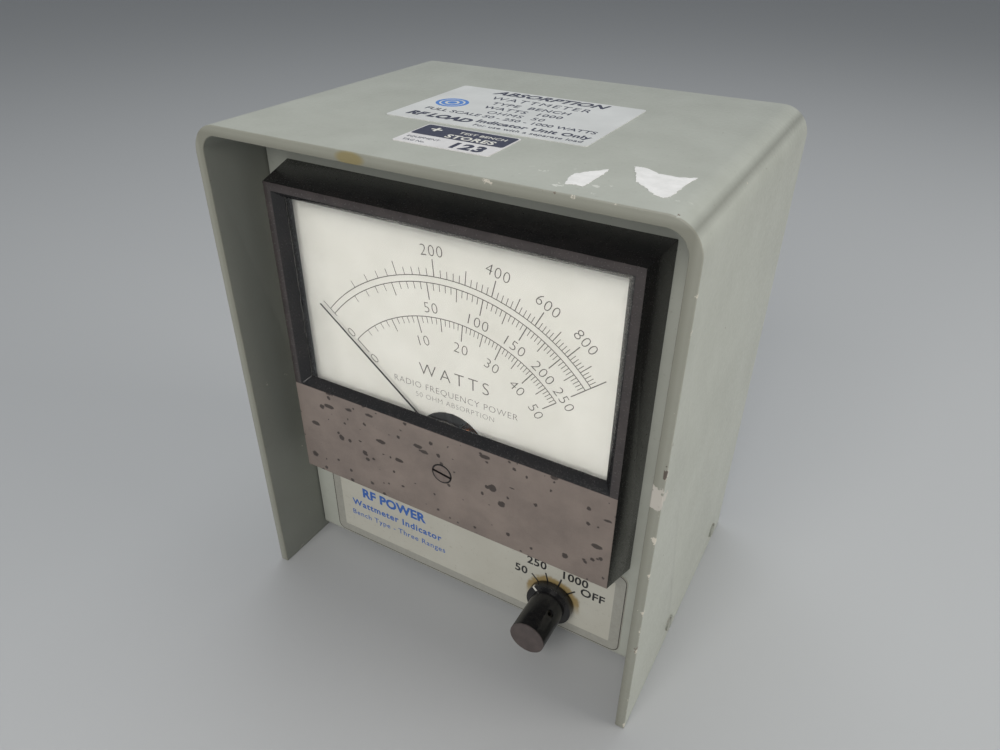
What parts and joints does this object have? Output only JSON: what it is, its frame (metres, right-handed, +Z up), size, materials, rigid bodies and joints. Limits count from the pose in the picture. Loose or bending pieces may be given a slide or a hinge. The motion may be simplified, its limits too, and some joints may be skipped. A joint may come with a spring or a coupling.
{
  "type": "rf wattmeter indicator unit",
  "caption": "Bench radio wattmeter: large rectangular needle meter over a legend plate and range knob, in a grey-green sheet housing with a deep front hood.",
  "frame": {"origin": "under the middle of the housing, on the surface it stands on", "axes": "+Z up, -Y towards the viewer of the dial, +X to that viewer's right"},
  "size_m": [0.1424, 0.105, 0.1654],
  "materials": {
    "cover_paint": "satin grey-green paint on sheet steel, chipped along the rim",
    "chassis_paint": "satin grey-green paint",
    "painted_screw": "painted over",
    "legend_enamel": "light enamel with a grey border",
    "nameplate_foil": "satin foil",
    "tag_foil": "satin foil",
    "bakelite": "moulded, glossy sides and a dulled, spotted front",
    "bakelite_base": "moulded",
    "window_glass": "clear flat glass",
    "dial_enamel": "matte off-white",
    "brass": "plain",
    "zinc_steel": "zinc plated",
    "brown_phenolic": "moulded",
    "black_oxide": "black",
    "magnet_alloy": "cast",
    "soft_iron": "ground",
    "pointer_black": "black lacquer",
    "polished_steel": "polished",
    "aluminium_foil": "plain",
    "copper_wire": "enamelled copper",
    "spring_bronze": "bright",
    "tinned_brass": "tinned",
    "lead_insulation": "plastic covered lead",
    "knob_phenolic": "glossy barrel and a dulled front face",
    "nickel_plate": "nickel plated brass",
    "paper_phenolic": "laminated sheet",
    "silver_plate": "silver plated",
    "rotor_plastic": "moulded",
    "board_laminate": "glass-fibre laminate",
    "resistor_body": "lacquered, with colour bands",
    "capacitor_body": "dipped",
    "white_ptfe": "turned",
    "gold_plate": "gold plated"
  },
  "bodies": {
    "housing": {"cover": "cover_paint", "chassis": "chassis_paint", "cover_screws": "painted_screw", "legend_plate": "legend_enamel", "nameplate_label": "nameplate_foil", "inventory_tag": "tag_foil", "meter_case": "bakelite", "window_glass": "window_glass", "meter_base": "bakelite_base", "mounting_studs": "brass", "mounting_washers": "zinc_steel", "mounting_nuts": "brass", "dial_plate": "dial_enamel", "dial_posts": "brass", "dial_screws": "zinc_steel", "front_bridge": "black_oxide", "rear_bridge": "brass", "bridge_screws": "zinc_steel", "jewel_screws": "brass", "magnet_ring": "magnet_alloy", "pole_pieces": "soft_iron", "iron_core": "soft_iron", "core_holder": "brass", "movement_pillars": "zinc_steel", "pillar_nuts": "brass", "meter_terminals": "brass", "terminal_nuts": "brass", "solder_lugs": "tinned_brass", "meter_leads": "lead_insulation", "switch_bushing": "nickel_plate", "switch_washer": "zinc_steel", "switch_nut": "nickel_plate", "detent_spring": "polished_steel", "switch_wafer": "paper_phenolic", "wafer_contacts": "silver_plate", "switch_spacers": "zinc_steel", "switch_tie_screws": "zinc_steel", "circuit_board": "board_laminate", "board_standoffs": "nickel_plate", "board_screws": "zinc_steel", "range_resistors": "resistor_body", "filter_capacitor": "capacitor_body", "signal_socket": "nickel_plate", "socket_insulator": "white_ptfe", "socket_contact": "gold_plate", "socket_nut": "nickel_plate"},
    "pointer": {"pointer": "pointer_black", "coil_pivots": "polished_steel", "coil_former": "aluminium_foil", "coil_winding": "copper_wire", "front_hairspring": "spring_bronze", "rear_hairspring": "spring_bronze"},
    "zero_screw": {"zero_screw": "brown_phenolic", "zero_screw_clip": "zinc_steel"},
    "zero_lever": {"zero_lever": "brass"},
    "range_knob": {"range_knob": "knob_phenolic", "knob_set_screw": "black_oxide", "switch_shaft": "polished_steel", "detent_wheel": "zinc_steel", "wafer_rotor": "rotor_plastic"}
  },
  "joints": [
    {"name": "pointer_swing", "type": "hinge", "parent": "housing", "child": "pointer", "pos_m": [0, -0.02655, 0.0722], "axis": [0, 1, 0], "range_deg": [-2, 103], "stiffness_Nm_per_rad": 0.0002},
    {"name": "zero_screw_turn", "type": "hinge", "parent": "housing", "child": "zero_screw", "pos_m": [0, -0.04255, 0.0661], "axis": [0, 1, 0], "range_deg": [-40, 40]},
    {"name": "zero_lever_turn", "type": "hinge", "parent": "housing", "child": "zero_lever", "pos_m": [0, -0.03955, 0.0722], "axis": [0, 1, 0], "range_deg": [-6, 6]},
    {"name": "range_turn", "type": "hinge", "parent": "housing", "child": "range_knob", "pos_m": [0.03425, -0.03255, 0.01615], "axis": [0, 1, 0], "range_deg": [0, 90]}
  ],
  "couplings": [
    {"joint": "zero_lever_turn", "follows": "zero_screw_turn", "ratio": 0.1408}
  ]
}
